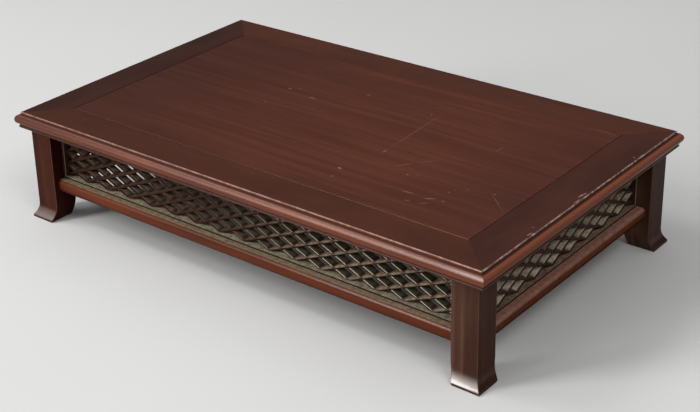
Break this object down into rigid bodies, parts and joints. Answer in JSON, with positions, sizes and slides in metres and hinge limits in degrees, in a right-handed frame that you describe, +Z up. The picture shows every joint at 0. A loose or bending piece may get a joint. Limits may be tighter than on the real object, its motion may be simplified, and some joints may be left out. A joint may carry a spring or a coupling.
{
  "type": "display stand",
  "caption": "Low rectangular display stand in dark hardwood, with a framed panel top, moulded edge, diamond lattice sides and square legs with swept feet.",
  "frame": {"origin": "middle of the footprint, on the floor under the feet", "axes": "+X along the length, +Y towards the back, +Z up"},
  "size_m": [0.5094, 0.3134, 0.107],
  "materials": {
    "frame_front": "polished hardwood, purple-brown",
    "frame_back": "polished hardwood, purple-brown",
    "frame_left": "polished hardwood, purple-brown",
    "frame_right": "polished hardwood, purple-brown",
    "panel": "polished hardwood, reddish brown",
    "leg": "polished hardwood, dark brown",
    "rail": "polished hardwood, orange-brown",
    "lattice": "thin hardwood slats, dull with age",
    "hidden_wood": "plain planed wood, unfinished"
  },
  "bodies": {
    "root": {"front_frame_rail": "frame_front", "back_frame_rail": "frame_back", "left_frame_rail": "frame_left", "right_frame_rail": "frame_right", "top_panel": "panel", "left_batten": "hidden_wood", "right_batten": "hidden_wood", "mitre_splines": "hidden_wood", "front_left_leg": "leg", "front_right_leg": "leg", "back_left_leg": "leg", "back_right_leg": "leg", "front_lower_rail": "rail", "back_lower_rail": "rail", "left_lower_rail": "rail", "right_lower_rail": "rail", "front_sill": "lattice", "back_sill": "lattice", "left_sill": "lattice", "right_sill": "lattice", "front_head": "lattice", "back_head": "lattice", "left_head": "lattice", "right_head": "lattice", "front_stile_near_left_leg": "lattice", "front_stile_near_right_leg": "lattice", "back_stile_near_left_leg": "lattice", "back_stile_near_right_leg": "lattice", "left_stile_near_front_leg": "lattice", "left_stile_near_back_leg": "lattice", "right_stile_near_front_leg": "lattice", "right_stile_near_back_leg": "lattice", "front_rising_slats": "lattice", "front_falling_slats": "lattice", "back_rising_slats": "lattice", "back_falling_slats": "lattice", "left_rising_slats": "lattice", "left_falling_slats": "lattice", "right_rising_slats": "lattice", "right_falling_slats": "lattice"}
  },
  "joints": []
}
